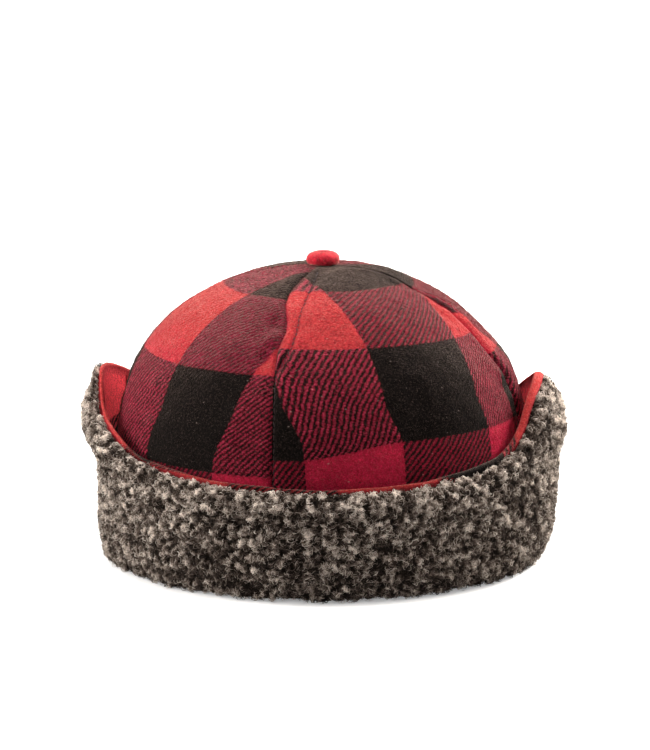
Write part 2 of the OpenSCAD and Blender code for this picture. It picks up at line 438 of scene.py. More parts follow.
def plaid_material(name, red, sheen, painted_top_light):
    """Buffalo-check wool twill.

    Attribute fab holds check columns, check rows and how brushed the cloth is; a second float
    attribute paints light and shade, darkening the cloth where it is positive and lightening it
    where it is negative.
    Sheen scales the nap's painted sheen, kept to upward faces as if lit from above, and the last
    argument sets how far upward faces are painted a warmer red, as painted top light.
    """
    row_pitch, float_across, float_up = 0.98, 2.95, 3.45      # twill weave, millimetres
    mat = Shader(name)
    columns, rows, nap = mat.split(mat.attribute("fab", "Vector"))
    point = mat.position()
    wander = mat.noise(point, scale=900, detail=2)
    warp_x = mat.add(columns, mat.swing(wander, 0.03))
    wander = mat.noise(mat.stretch(point, 1.0, 1.3, 0.8), scale=760, detail=2)
    weft_x = mat.add(rows, mat.swing(wander, 0.03))
    warp, weft = check_stripe(mat, warp_x), check_stripe(mat, weft_x)

    # each weft row shows short floats that step sideways from row to row: the twill line
    across, up_cloth = mat.mul(columns, CHECK), mat.mul(rows, CHECK)
    jitter = mat.swing(mat.noise(point, scale=520, detail=2, rough=0.6), 0.9)
    uneven = mat.add(up_cloth, jitter)
    row = mat.math("FLOOR", mat.math("DIVIDE", uneven, row_pitch))
    row_middle = mat.mul(mat.add(row, 0.5), row_pitch)
    drift = mat.swing(mat.noise(point, scale=190, detail=3, rough=0.6), 0.75)
    row_random = mat.fill(mat.node("ShaderNodeTexWhiteNoise", noise_dimensions="1D"),
                          {"W": row}, "Value")
    row_shift = mat.swing(row_random, 0.16)

    def float_wave(height):
        slope = mat.add(mat.math("DIVIDE", across, float_across),
                        mat.math("DIVIDE", height, float_up))
        return mat.wave("COSINE", mat.add(slope, mat.add(drift, row_shift)), 2 * math.pi)
    twill = mat.mix_value(0.55, float_wave(up_cloth), float_wave(row_middle))
    fibre = mat.noise(mat.stretch(point, 1.0, 1.0, 1.25), scale=1250, detail=3, rough=0.75)
    fine = mat.noise(mat.stretch(point, 1.15, 1.0, 1.0), scale=1750, detail=2, rough=0.7)
    felt = mat.noise(mat.stretch(point, 1.0, 1.1, 0.9), scale=620, detail=4, rough=0.74)
    twill = mat.add(twill, mat.swing(fibre, mat.add(2.4, mat.mul(nap, 1.6))))
    twill = mat.add(twill, mat.swing(felt, mat.mul(nap, 2.6)))
    face = mat.step(twill, edge=0.50, soft=0.42)
    row_profile = mat.wave("COSINE", mat.sub(mat.math("DIVIDE", uneven, row_pitch), 0.5),
                           2 * math.pi)

    # share of red; plain is 1 in the solid checks and 0 in the mixed ones
    redness = mat.mix_value(face, weft, warp)
    plain = mat.invert(mat.math("ABSOLUTE", mat.sub(warp, weft)))
    mixed = mat.mul(mat.step(redness, edge=0.58, soft=0.42), 0.66)
    redness = mat.mix_value(plain, mixed, redness)
    normal = mat.node("ShaderNodeNewGeometry").outputs["Normal"]
    upward = mat.step(mat.split(normal)[2], edge=0.45, soft=0.40)

    def tinted(*factors):
        return tuple(part * factor for part, factor in zip(red, factors))
    # painted top light: upward faces of the solid checks are painted a warmer, more orange red
    painted_top_red = mat.mix(mat.mul(mat.mul(upward, plain), painted_top_light), red, tinted(0.92, 2.2, 0.72))
    colour = mat.mix(redness, (0.0029, 0.0018, 0.0014), painted_top_red)
    # painted highlight: in the mixed checks the raised red floats are painted lighter and pinker
    raised = mat.step(mat.add(twill, mat.mul(row_profile, 0.25)), edge=0.95, soft=0.25)
    light = mat.mul(mat.invert(plain), mat.mul(redness, raised))
    colour = mat.mix(mat.mul(light, 0.17), colour, (0.74, 0.13, 0.21))
    mottle = mat.mix(mat.step(felt, edge=0.50, soft=0.11),
                     (0.013, 0.0022, 0.0030), tinted(0.66, 1.2, 1.1))
    colour = mat.mix(mat.mul(mat.invert(plain), mat.mul(nap, 0.62)), colour, mottle)

    # brightness from the brushed fibres
    cloud = mat.noise(point, scale=46, detail=3, rough=0.6)
    gain = mat.mul(mat.remap(fine, (0.32, 0.68), (0.50, 1.45)),
                   mat.remap(fibre, (0.32, 0.68), (0.72, 1.28)))
    gain = mat.mul(gain, mat.remap(cloud, (0.3, 0.7), (0.86, 1.12)))
    gain = mat.mul(gain, mat.remap(felt, (0.30, 0.70), (0.66, 1.32)))
    # painted light and shade from the float attribute: positive values darken, negative values
    # lighten
    gain = mat.mul(gain, mat.invert(mat.attribute("dim")))
    # painted shade: in the mixed checks each weft row is darker where it meets the next, as shade
    # on round threads
    painted_row_shade = mat.add(0.80, mat.mul(row_profile, 0.30))
    gain = mat.mul(gain, mat.mix_value(plain, painted_row_shade, 1.0))
    colour = mat.brighten(colour, gain)

    # pale flecks, pale neps and dark pinholes
    fleck = mat.noise(mat.stretch(point, 1.0, 1.2, 0.9), scale=1150, detail=3, rough=0.7)
    fleck = mat.step(fleck, edge=0.60, soft=0.10)
    colour = mat.mix(mat.mul(fleck, 0.040), colour, (0.62, 0.42, 0.36))
    nep = mat.specks(mat.stretch(point, 1.0, 2.2, 1.7), scale=105, radius=0.055, soft=0.02)
    colour = mat.mix(mat.mul(nep, 0.20), colour, (0.60, 0.46, 0.40))
    hole = mat.specks(mat.stretch(point, 1, 1.2, 1.1), scale=38, radius=0.045, soft=0.012)
    colour = mat.mix(mat.mul(hole, 0.85), colour, (0.012, 0.006, 0.006))

    relief = mat.mul(twill, mat.add(0.35, mat.mul(mat.invert(plain), 0.65)))
    height = mat.add(mat.mul(relief, 0.6),
                     mat.add(mat.mul(fibre, 0.7), mat.mul(row_profile, 0.15)))
    height = mat.add(height, mat.mul(felt, 1.5))
    weave = mat.bump(height, distance=0.00046, strength=0.9)
    # painted sheen: the nap's sheen is kept to faces lying towards the sky, standing in for the
    # top light
    painted_top_sheen = mat.mul(mat.remap(fibre, (0.35, 0.65), (0.25, 1.6)),
                    mat.add(0.035, mat.mul(upward, 0.93)))
    return mat.finish(Base_Color=colour, Roughness=0.95, Specular_IOR_Level=0.06,
                      Normal=mat.bump(fine, distance=0.00016, strength=0.8, Normal=weave),
                      Sheen_Weight=mat.mul(painted_top_sheen, 0.40 * sheen), Sheen_Roughness=0.26,
                      Sheen_Tint=(1.0, 0.70, 0.58))


def wool_material(name, colour):
    mat = Shader(name)
    point = mat.position()
    fine = mat.noise(point, scale=1600, detail=3, rough=0.7)
    cloud = mat.noise(point, scale=620, detail=3, rough=0.6)
    gain = mat.mul(mat.remap(cloud, (0.32, 0.68), (0.50, 1.35)),
                   mat.remap(fine, (0.32, 0.68), (0.6, 1.4)))
    height = mat.add(mat.mul(fine, 0.6), mat.mul(cloud, 0.6))
    return mat.finish(Base_Color=mat.brighten(colour, gain), Roughness=0.9,
                      Normal=mat.bump(height, distance=0.0003, strength=0.8),
                      Specular_IOR_Level=0.2, Sheen_Weight=0.5, Sheen_Roughness=0.4,
                      Sheen_Tint=(1.0, 0.5, 0.42))


def fleece_ground_material():
    """Matted pile under the curls. Attribute tone runs from dark gaps to pale tufts: partly the
    wool's own colour, partly painted shade in the gaps and painted light on the tufts.
    """
    mat = Shader("fleece_ground")
    point = mat.position()
    coarse = mat.noise(point, scale=420, detail=4, rough=0.7)
    fine = mat.noise(point, scale=1700, detail=3, rough=0.75)
    grain = mat.add(mat.mul(coarse, 0.35), mat.mul(fine, 0.65))
    tone = mat.math("ADD", mat.attribute("tone"), mat.swing(grain, 1.9), clamp=True)
    colour = mat.ramp(tone, [(0.0, (0.0060, 0.0036, 0.0026)), (0.22, (0.028, 0.019, 0.014)),
                             (0.46, (0.155, 0.117, 0.098)), (0.70, (0.45, 0.37, 0.32)),
                             (1.0, (0.90, 0.77, 0.67))])
    return mat.finish(Base_Color=colour, Roughness=0.95, Specular_IOR_Level=0.08,
                      Normal=mat.bump(mat.add(coarse, fine), distance=0.0011))


def curl_material():
    mat = Shader("fleece_curl")
    fibre = mat.noise(mat.position(), scale=1500, detail=2, rough=0.6)
    tone = mat.math("ADD", mat.attribute("tone"), mat.swing(fibre, 0.5), clamp=True)
    colour = mat.ramp(tone, [(0.0, (0.010, 0.0066, 0.0050)), (0.22, (0.044, 0.031, 0.025)),
                             (0.45, (0.225, 0.178, 0.150)), (0.70, (0.60, 0.51, 0.44)),
                             (1.0, (0.97, 0.86, 0.76))])
    return mat.finish(Base_Color=colour, Roughness=0.85, Specular_IOR_Level=0.15)


def satin_material(name, colour, fineness=1.0, rough=0.45):
    mat = Shader(name)
    point = mat.position()
    weave = mat.noise(mat.stretch(point, 1, 1, 6), scale=900 * fineness, detail=2)
    cloud = mat.noise(point, scale=60, detail=3, rough=0.6)
    gain = mat.add(0.7, mat.add(mat.mul(weave, 0.3), mat.mul(cloud, 0.3)))
    return mat.finish(Base_Color=mat.brighten(colour, gain), Sheen_Weight=0.2,
                      Roughness=mat.remap(weave, (0.3, 0.7), (rough - 0.08, rough + 0.12)),
                      Normal=mat.bump(weave, distance=0.00012, strength=0.5))


def ribbed_material(name, colour):
    """Grosgrain with vertical ribs. Attribute fab holds millimetres along and up the band."""
    rib_pitch, weave_pitch = 1.1, 0.7
    mat = Shader(name)
    along, height, _ = mat.split(mat.attribute("fab", "Vector"))
    rib = mat.wave("SINE", along, 2 * math.pi / rib_pitch)
    weave = mat.wave("SINE", height, 2 * math.pi / weave_pitch)
    grain = mat.noise(mat.position(), scale=700, detail=3, rough=0.6)
    gain = mat.add(0.55, mat.add(mat.mul(rib, 0.4), mat.mul(grain, 0.3)))
    relief = mat.add(rib, mat.mul(weave, 0.3))
    return mat.finish(Base_Color=mat.brighten(colour, gain), Roughness=0.62, Sheen_Weight=0.25,
                      Normal=mat.bump(relief, distance=0.00025, strength=0.7))


def thread_material(name, colour):
    mat = Shader(name)
    grain = mat.noise(mat.position(), scale=2200, detail=2, rough=0.6)
    return mat.finish(Base_Color=mat.brighten(colour, mat.add(0.6, mat.mul(grain, 0.8))),
                      Roughness=0.6, Normal=mat.bump(grain, distance=0.0001, strength=0.6))


def metal_material(name, colour):
    mat = Shader(name)
    brushed = mat.stretch(mat.position(), 1, 1, 14)
    grain = mat.noise(brushed, scale=420, detail=3, rough=0.6)
    return mat.finish(Base_Color=mat.brighten(colour, mat.add(0.8, mat.mul(grain, 0.3))),
                      Metallic=1.0, Roughness=mat.remap(grain, (0.3, 0.7), (0.28, 0.5)),
                      Normal=mat.bump(grain, distance=0.00005, strength=0.4))


PLAID = plaid_material("plaid_wool", red=(0.37, 0.0115, 0.0380), sheen=1.0, painted_top_light=1.0)
# painted light: the cuff's backing is the crown's cloth given a lighter, more orange red,
# standing in for light on the ears' inner faces
CUFF_WOOL = plaid_material("cuff_wool", red=(0.66, 0.0420, 0.0560), sheen=0.9, painted_top_light=0.25)
RED_WOOL = wool_material("red_wool", (0.40, 0.0080, 0.0220))
FLEECE = fleece_ground_material()
CURL = curl_material()
SATIN = satin_material("quilted_satin", (0.028, 0.026, 0.030))
GROSGRAIN = ribbed_material("sweatband_grosgrain", (0.045, 0.040, 0.038))
THREAD = thread_material("seam_thread", (0.030, 0.010, 0.012))
LINING_THREAD = thread_material("lining_thread", (0.05, 0.045, 0.045))
TAPE = satin_material("seam_tape", (0.06, 0.06, 0.062), fineness=2.0, rough=0.8)
LABEL = satin_material("label_weave", (0.72, 0.69, 0.62), fineness=3.0, rough=0.75)
STEEL = metal_material("button_steel", (0.62, 0.62, 0.64))

# ------------------------------------------------------------------ crown profile
# radius and height of the dome against arc length from its apex
_turn = np.radians(np.linspace(0.02, 90, 4001))
DOME_RADIUS = CROWN_RADIUS * np.sin(_turn) ** RADIUS_POWER
DOME_Z = CROWN_HEIGHT * np.cos(_turn) ** HEIGHT_POWER
DOME_ARC = path_length(np.stack([DOME_RADIUS, DOME_Z], -1))
# growth of radius along the arc, on a coarser grid
SPREAD_ARC = DOME_ARC[::40]
SPREAD = np.gradient(DOME_RADIUS[::40], SPREAD_ARC)


def dome(arc):
    return np.interp(arc, DOME_ARC, DOME_RADIUS), np.interp(arc, DOME_ARC, DOME_Z)


def dome_normal(arc):
    """Outward normal: its radial and vertical parts."""
    radius_above, z_above = dome(np.clip(arc - 1.5, 0.05, DOME_ARC[-1]))
    radius_below, z_below = dome(np.clip(arc + 1.5, 0.1, DOME_ARC[-1]))
    down = unit(np.stack([radius_below - radius_above, z_below - z_above], -1))
    return -down[..., 1], down[..., 0]


def arc_at_z(z):
    return float(np.interp(-z, -DOME_Z, DOME_ARC))


def off_dome(azim, arc, offset, least=0.0):
    """Point standing off the dome by offset, kept at least that far from the axis."""
    radius, z = dome(arc)
    out, up = dome_normal(arc)
    return place(azim, np.maximum(radius + out * offset, least), z + up * offset)


def panel_middle(k):
    return 90 * k + FIRST_SEAM + HALF_PANEL


def panel_checks(k, arc, turn):
    """Check columns and rows on panel k, at a turn in radians from the panel's middle."""
    radius, _ = dome(arc)
    spread = np.maximum(np.interp(arc, SPREAD_ARC, SPREAD), 1e-3)
    across = radius / spread * np.sin(spread * turn)
    down = arc
    if k == 0:
        across = across - 6 * smooth(108, 130, arc)
        # the cloth sags beside the front seam
        down = arc - 7.5 * (1 - smooth(-75, -18, across)) * smooth(95, 115, arc)
        column = np.interp(across, [-66 - CHECK, -66, -20.3, 31.7, 59, 105],
                           [-1, 0, 1, 2, 3, 4])
        edges, numbers = [40.8, 81.5, 127.5, 127.5 + 2 * CHECK], [-1, 0, 1, 2, 4]
    elif k == 1:
        column = 1 + (across + 50) / CHECK
        edges, numbers = [45, 95, 95 + 2 * CHECK], [-1, 0, 1, 3]
    elif k == 2:
        column = 1 + (across + 28) / CHECK
        edges, numbers = [44, 92, 92 + 2 * CHECK], [-1, 0, 1, 3]
    else:
        across = across + 5 * smooth(115, 138, arc)
        column = np.interp(across, [-37 - CHECK, -37, 9, 53, 53 + CHECK], [-1, 0, 1, 2, 3])
        edges, numbers = [48, 96, 143, 143 + CHECK], [-1, 0, 1, 2, 3]
    return column, np.interp(down, [edges[0] - CHECK] + edges, numbers)


def seam_curve(rounds, *knots):
    return smooth_table(knots, np.arange(0, 201, 1.0), rounds)


# (arc length from the apex, azimuth) of each seam where two panels meet: front, left, back, right
SEAMS = [
    seam_curve(5, (0, -22), (36, -24), (51, -21.0), (57, -18.2), (63, -16.2), (70, -15.0),
               (76, -15.6), (82, -16.2), (90, -15.7), (98, -15.4), (115, -14.4), (130, -14),
               (200, -14)),
    seam_curve(10, (0, 76), (50, 75.3), (58, 72.4), (75, 71), (92, 70.8), (100, 72.4),
               (110, 73.8), (118, 75.3), (130, 76), (200, 76)),
    seam_curve(10, (0, 166), (30, 160), (60, 163), (95, 164.5), (130, 166), (200, 166)),
    seam_curve(10, (0, 256), (30, 257), (60, 251.5), (95, 251), (130, 254), (200, 256))]
# the same for the row of topstitching beside each seam
STITCH_ROWS = [
    seam_curve(4, (0, -9), (36, -9), (50, -10.4), (57, -11), (70, -10.6), (82, -11.4),
               (90, -13.4), (97, -14.8), (115, -13.9), (130, -13.5), (200, -13.5)),
    seam_curve(10, (0, 75), (50, 74.2), (58, 71.6), (75, 70.3), (92, 70.2), (100, 71.9),
               (110, 73.3), (118, 74.8), (130, 75.5), (200, 75.5)),
    seam_curve(10, (0, 150), (30, 154), (60, 159), (95, 161.5), (130, 163.4), (200, 163.4)),
    seam_curve(10, (0, 268), (30, 263), (60, 255.5), (95, 254.2), (130, 256.8), (200, 258.6))]
# puckers beside the front seam: height, arc length and its width, distance over and its width
FRONT_PUCKERS = [(1.0, 55, 5, -5, 4), (-1.9, 66.5, 4.5, -5.5, 4.5),
                 (1.0, 77, 4.5, -5, 4), (-1.7, 88, 3.8, -4.5, 3.6)]


def seam_relief(arc, azim, radius):
    """How far the seams and their topstitching lift or pinch the cloth."""
    total = 0
    low = 1 - 0.55 * smooth(100, 140, arc)
    for q in range(4):
        seam = np.interp(arc, *SEAMS[q])
        row = np.interp(arc, *STITCH_ROWS[q])
        # millimetres over from the seam, and of the row of stitches
        over = np.radians(near(azim, seam) - seam) * radius
        width = np.radians(near(row, seam) - seam) * radius
        if q in (2, 3):
            width = np.abs(width)
        if q == 2:
            over = -over
        fade = smooth(6, 26, arc)
        line = np.stack([arc, 31.0 * q + 0 * arc, 0 * arc], -1)
        slow = value_noise(line, 15.0, 40 + q)
        quick = value_noise(line, 7.5, 60 + q)
        medium = value_noise(line, 10.0, 80 + q)
        if q == 1:
            ridge = 2.1 * bell(over, 5.2, 3.4) * (0.8 + 0.3 * slow)
            total = total + fade * (
                -1.5 * bell(over, 0, 1.3)
                + ridge * smooth(44, 60, arc) * (1 - 0.5 * smooth(105, 130, arc))
                + 0.7 * bell(over, -5, 3.6) * (0.7 + 0.8 * quick) * low
                - 0.5 * bell(over, -10, 3) * medium)
            continue
        inside = (over > 0) & (over < width)
        part = np.clip(over / np.maximum(width, 0.5), 0, 1)
        puff = np.where(inside, np.sin(np.pi * part) ** 0.8, 0)
        total = total + fade * (
            puff * smooth(2.0, 4.5, width) * (0.95 + 0.5 * slow)
            - 0.75 * bell(over, width, 0.8) - 0.9 * bell(over, 0, 0.95)
            + 0.5 * bell(over, width + 4, 3.2) * (0.8 + 0.9 * quick) * low
            - 0.35 * bell(over, width + 9, 3.5) * medium * low)
        beside = bell(over, -4.2, 3.2) * (0.45 + 1.0 * quick) * low
        if q == 0:
            beside = beside * 0.5
            for height, middle, length, side, reach in FRONT_PUCKERS:
                beside = beside + height * bell(arc, middle, length) * bell(over, side, reach)
        total = total + fade * beside
    return total


def crown_relief(arc, turn, azim):
    """How far the cloth stands off the smooth dome, at a turn from the panel's middle."""
    radius, z = dome(arc)
    point = place(azim, radius, z)
    fade = smooth(4, 26, arc)
    total = sum(height * layered_noise(point, size, seed, 2) * fade
                for height, size, seed in ((1.3, 44, 5), (0.42, 13, 9), (0.16, 4.5, 12)))
    # soft belly between the seams
    belly = np.cos(np.clip(turn / np.radians(HALF_PANEL), -1, 1) * np.pi / 2) ** 0.8
    total = total + 1.1 * belly * smooth(10, 60, arc) * (1 - smooth(150, 185, arc))
    # shallow hollow over the left ear
    hollow = bell(near(azim, 88.0), 88.0, 30.0)
    total = total - 2.2 * hollow * smooth(30, 50, arc) * (1 - smooth(84, 106, arc))
    return total + seam_relief(arc, azim, radius)


# ------------------------------------------------------------------ crown
def brushing(k, arc):
    """How brushed the cloth of panel k is."""
    if k == 0:
        return 0.12 + 0.25 * (1 - smooth(50, 75, arc))
    if k == 3:
        return 0.28 + 0.62 * (1 - smooth(86, 108, arc))
    return 0.3 + 0 * arc


def crown_nap(k, arc, azim, outer, checks):
    """Loose fibres lying on panel k."""
    rng = np.random.default_rng(500 + k)
    steps = 5
    size = (NAP_COUNT, 1)
    area = dome(arc)[0] * np.gradient(arc[:, 0])[:, None] * np.abs(np.gradient(azim, axis=1))
    i, j, sample = scatter(rng, area[:-1, :-1], NAP_COUNT)
    normal = place(azim[i, j], *dome_normal(arc[i, j]))
    along = unit(random_tangents(rng, normal))
    t = np.linspace(0, 1, steps)[None]
    length = rng.uniform(0.7, 2.4, size)
    rise = rng.uniform(0.1, 0.75, size)
    bend = rng.normal(0, 0.5, size)
    arch = np.sin(np.pi * t * rng.uniform(0.5, 1.0, size))
    paths = offset_paths(sample(outer), (along, length * (t - 0.5)),
                         (np.cross(normal, along), bend * np.sin(np.pi * t)),
                         (normal, -0.08 + rise * arch))
    thick = rng.uniform(0.030, 0.060, NAP_COUNT)
    verts, faces = tubes(paths, thick, sides=3, seed=520 + k)
    fab = np.repeat(checks[i, j], steps * 3, axis=0)
    fab[:, 2] = 0.2
    nap = make_mesh("nap_" + PANELS[k], verts, faces, PLAID, {"fab": fab})
    dress(nap, "crown")


def crown_panel(k):
    arc = np.concatenate([np.linspace(2.6, 12, 9)[:-1], np.linspace(12, arc_at_z(RIM_Z), 190)])
    across = np.linspace(-1, 1, 177)
    # closer together at the seams
    across = np.sign(across) * (1 - (1 - np.abs(across)) ** 1.3)
    across = across / across[-1]
    middle = panel_middle(k)
    start = near(np.interp(arc, *SEAMS[k]), middle - HALF_PANEL)[:, None]
    end = near(np.interp(arc, *SEAMS[(k + 1) % 4]), middle + HALF_PANEL)[:, None]
    arc, across = np.meshgrid(arc, across, indexing="ij")
    azim = start + (end - start) * (across + 1) / 2
    turn = np.radians(azim - middle)
    outer = off_dome(azim, arc, crown_relief(arc, turn, azim))
    inner = off_dome(azim, arc, -2.1, least=1.9)
    checks = np.stack([*panel_checks(k, arc, turn), brushing(k, arc)], -1)
    fab = checks.reshape(-1, 3)
    panel = make_mesh("crown_" + PANELS[k], *slab(outer, inner), PLAID,
                      {"fab": np.concatenate([fab, fab])})
    crown_nap(k, arc, azim, outer, checks)
    dress(panel, "crown", "crown_panel_" + PANELS[k])


def seam_stitches(q):
    """A row of small running stitches, sunk in the wool."""
    arcs, azims, lifts = [], [], []
    start = 16.0
    gap = 0.35
    t = np.linspace(0, 1, 6)
    rng = np.random.default_rng(100 + q)
    while start < arc_at_z(30):
        length = 2.5 + 0.5 * rng.random()
        arc = start + length * t
        sway = 0.10 * np.sin(arc * 0.9) + (t - 0.5) * 0.5 * rng.normal()
        arcs.append(arc)
        azims.append(np.interp(arc, *STITCH_ROWS[q]) + np.degrees(sway / dome(start)[0]))
        lifts.append(-0.10 + 0.30 * np.sin(np.pi * t))
        start += length + gap
    arc, azim = np.array(arcs), np.array(azims)
    middle = panel_middle(np.floor((azim - FIRST_SEAM) / 90))
    relief = crown_relief(arc, np.radians(azim - middle), azim)
    paths = off_dome(azim, arc, relief + np.array(lifts))
    verts, faces = tubes(paths, 0.24, sides=5, seed=q)
    thread = make_mesh("seam_thread_" + SEAM_NAMES[q], verts, faces, THREAD)
    dress(thread, "crown")


for k in range(4):
    crown_panel(k)
for q in range(4):
    seam_stitches(q)


# ------------------------------------------------------------------ covered button
def button():
    low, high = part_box("button_cover")
    edge = (high.x - low.x) / 2 / MM
    bottom, top = low.z / MM, high.z / MM
    rows, columns = 34, 96
    # (radius, height): domed top, rounded shoulder, turned-under edge
    profile = np.array([
        (0.0, top + 0.25), (0.35 * edge, top + 0.15), (0.62 * edge, top - 0.25),
        (0.82 * edge, top - 0.95), (0.95 * edge, top - 2.0), (1.0 * edge, top - 3.4),
        (0.985 * edge, bottom + 1.2), (0.93 * edge, bottom + 0.25), (0.80 * edge, bottom - 0.25),
        (0.5 * edge, bottom - 0.1), (0.22 * edge, bottom - 0.05)])
    length = path_length(profile)
    along = np.linspace(0.02, length[-1], rows)
    radius = np.interp(along, length, profile[:, 0])
    z = np.interp(along, length, profile[:, 1])
    relax(radius, 2)
    relax(z, 2)
    azim = np.linspace(0, 360, columns, endpoint=False)
    radius, azim = np.meshgrid(radius, azim, indexing="ij")
    z = np.repeat(z[:, None], columns, 1)
    turn = np.radians(azim)
    pleats = np.cos(turn * 17 + 0.6 * np.sin(3 * turn)) * 0.10
    pleats = pleats * smooth(0.45 * length[-1], 0.8 * length[-1], along)[:, None]
    bumps = 0.16 * layered_noise(place(azim, radius, z), 4.0, 3, 3)
    radius = radius + pleats + bumps * smooth(0.1, 0.5, radius / edge)
    cover = place(azim, radius, z + bumps)
    centres = [[0, 0, cover[0, :, 2].mean()], [0, 0, cover[-1, :, 2].mean()]]
    j = np.arange(columns)
    after = (j + 1) % columns
    count = rows * columns
    last = count - columns
    faces = [grid_faces(rows, columns, closed_columns=True),
             np.stack([j, after, np.full(columns, count)], -1),
             np.stack([np.full(columns, count + 1), last + after, last + j], -1)]
    shell = make_mesh("top_button", np.concatenate([cover.reshape(-1, 3), centres]), faces,
                      RED_WOOL)
    dress(shell, "crown", "button_cover")

    # short fibres standing off the wool
    rng = np.random.default_rng(5)
    fibres = 1500
    i = rng.integers(1, int(rows * 0.62), fibres)
    root = cover[i, rng.integers(0, columns, fibres)]
    normal = unit(root - np.array([0, 0, bottom + 0.2]))
    along = random_tangents(rng, normal)
    t = np.linspace(0, 1, 4)
    length = rng.uniform(0.5, 1.1, fibres)[:, None]
    paths = offset_paths(root, (normal, 0.42 * length * np.sin(t * 2.2)),
                         (along, 0.45 * length * t))
    verts, faces = tubes(paths, 0.045, sides=3, seed=8)
    dress(make_mesh("top_button_fuzz", verts, faces, RED_WOOL), "crown")


button()

# ------------------------------------------------------------------ cuff shape
# (azimuth either side of the front, height of the fleece); the right ear's front edge is steeper
CUFF_GRID = np.arange(0, 180.5, 0.5)
TOP_LEFT = smooth_table([
    (0, 49.8), (30, 51.2), (44, 53.8), (51, 55.6), (57.6, 58.8), (61.8, 63.2), (65.3, 67.2),
    (69.4, 74), (73.5, 79.4), (79, 83.6), (85, 84.9), (91, 83.4), (97, 80.4), (102, 77.4),
    (107, 73.4), (113, 68.6), (124, 60.5), (138, 55.4), (154, 52), (180, 50.6)], CUFF_GRID, 14)
TOP_RIGHT = smooth_table([
    (0, 49.8), (30, 51.3), (41, 53.4), (48, 54.6), (53, 55.4), (58, 56.7), (63.5, 59.6),
    (67, 62.4), (72, 65.4), (77, 67.6), (80, 70), (83.5, 75.4), (87, 82), (91, 87), (97, 87.6),
    (105, 84.2), (113, 79.4), (124, 68), (138, 58), (154, 52.2), (180, 50.6)], CUFF_GRID, 14)
# heights, and how far each ear's outer face stands out there at its middle
EAR_LEFT = ([8, 15, 19, 27, 35, 43, 50, 53.5, 58, 62, 66, 70.5, 75, 78, 80, 84, 92],
            [-2.0, 0.2, -0.2, 0.6, 1.0, 1.3, 1.4, 2.7, 4.3, 4.7, 4.4, 4.1, 3.1, 1.4, 0.4,
             -0.8, -1.0])
EAR_RIGHT = ([8, 19, 27, 35, 43, 46.5, 50.5, 54.4, 58.3, 62.2, 70, 74, 78, 84, 92],
             [-3.6, -2.8, -3.3, -3.7, -3.5, -3.0, -1.6, 1.2, 3.4, 4.9, 5.2, 4.1, 2.5, 0.4, -0.6])
# azimuths where the cuff's warp stripes change, numbered from 0 at the first
STRIPE_AZIMS = [-136, -125, -62, -51, -25, 4, 31, 54, 118, 140, 165, 190, 212, 224]


def cuff_top(azim):
    azim = wrap(azim)
    return float(np.interp(np.abs(azim), *(TOP_LEFT if azim >= 0 else TOP_RIGHT)))


def ear_share(azim, width):
    """1 at the middle of each ear, falling away to the front and back."""
    return bell(np.abs(wrap(azim)), 90, width)


def lean(azim, z):
    """Outward lean of the whole cuff, most at the ears."""
    side = np.where(wrap(azim) >= 0, 0.4, 5.0)
    return ear_share(azim, 34.0) * side * smooth(30, 78, z) + 0.6 * smooth(10, 52, z)


def belly(azim, z):
    """How far the fleece stands off its backing beyond its pile, at the ears."""
    out = np.where(wrap(azim) >= 0, np.interp(z, *EAR_LEFT), np.interp(z, *EAR_RIGHT))
    return ear_share(azim, 30.0) * (out - (lean(azim, z) - 0.6))


def wobble(azim, z):
    """Slow unevenness of the whole cuff, the same for every layer."""
    return 0.9 * layered_noise(place(azim, 105.0, z), 60, 21, 2) * smooth(4, 30, z)


def section_middle(flap, i):
    return 90 * flap - 45 + HALF_SECTION + 2 * HALF_SECTION * i


# ------------------------------------------------------------------ cuff backing
def backing_checks(azim, z):
    azim = ((azim + 136) % 360) - 136
    column = np.interp(azim, STRIPE_AZIMS, range(len(STRIPE_AZIMS))) + 1
    left, right, front = (np.interp(z, edges, [-0.2, 1.0, 2.0, 3.0]) for edges in
                          ([-30, 24, 67, 112], [-30, 17, 61, 105], [-30, 10, 50, 92]))
    side = smooth(20, 50, np.abs(azim))
    return column, np.where(azim > 0, left, right) * side + front * (1 - side)


def backing_ring(azimuth):
    """Closed outline of the wool at one azimuth, and its check coordinates."""
    share = float(ear_share(azimuth, 30.0))
    left = float(wrap(azimuth)) > 0
    top = cuff_top(azimuth) + (2.0 + (1.0 if left else -0.9) * share)
    wide = 1.0 + (0.55 if left else -0.55) * share
    base = WOOL_RADIUS
    # hat side going up, hem over the top, fleece side going down, rolled fold at the bottom
    rise = np.linspace(9, top - 1.5, 26)
    fall = np.linspace(top - 6, 9, 12)
    outline = [(base - 0.35 + 0.1 * math.sin(z * .7), z) for z in rise]
    outline += [(base - 0.42, top - 1.2), (base - 0.3, top - 0.5),
                (base + 0.35 * wide, top + 0.15), (base + 1.3 * wide, top + 0.35),
                (base + 2.2 * wide, top + 0.05), (base + 2.75 * wide, top - 0.8),
                (base + 2.6 * wide, top - 2.4), (base + 2.2, top - 4)]
    outline += [(base + 2.0, z) for z in fall]
    outline += [(max(FOLD_RADIUS + 2.6 * math.cos(t) + 0.2, FOLD_RADIUS - 0.7),
                 FOLD_Z + 1.6 * math.sin(t)) for t in np.linspace(0.1, -math.pi - 0.1, 9)]
    radius, z = np.array(outline).T
    azim = np.full(len(z), azimuth)
    ripple = 0.3 * value_noise(place(azim, radius, z), 9, 77) * smooth(10, 20, z)
    radius = radius + lean(azim, z) + wobble(azim, z) + ripple
    hem_wave = 0.5 * value_noise(place(azim, 100, 50), 14, 78)
    ring = place(azim, radius, z + smooth(top - 6, top, z) * hem_wave)
    hem = [top + rise for rise in (-1, 0, 0.8, 1.8, 2.8, 4, 5.5, 7)]
    cloth = np.concatenate([rise, hem, fall, np.linspace(8, 0, 9)])
    return ring, np.stack([*backing_checks(azim, cloth), 0 * cloth], -1)


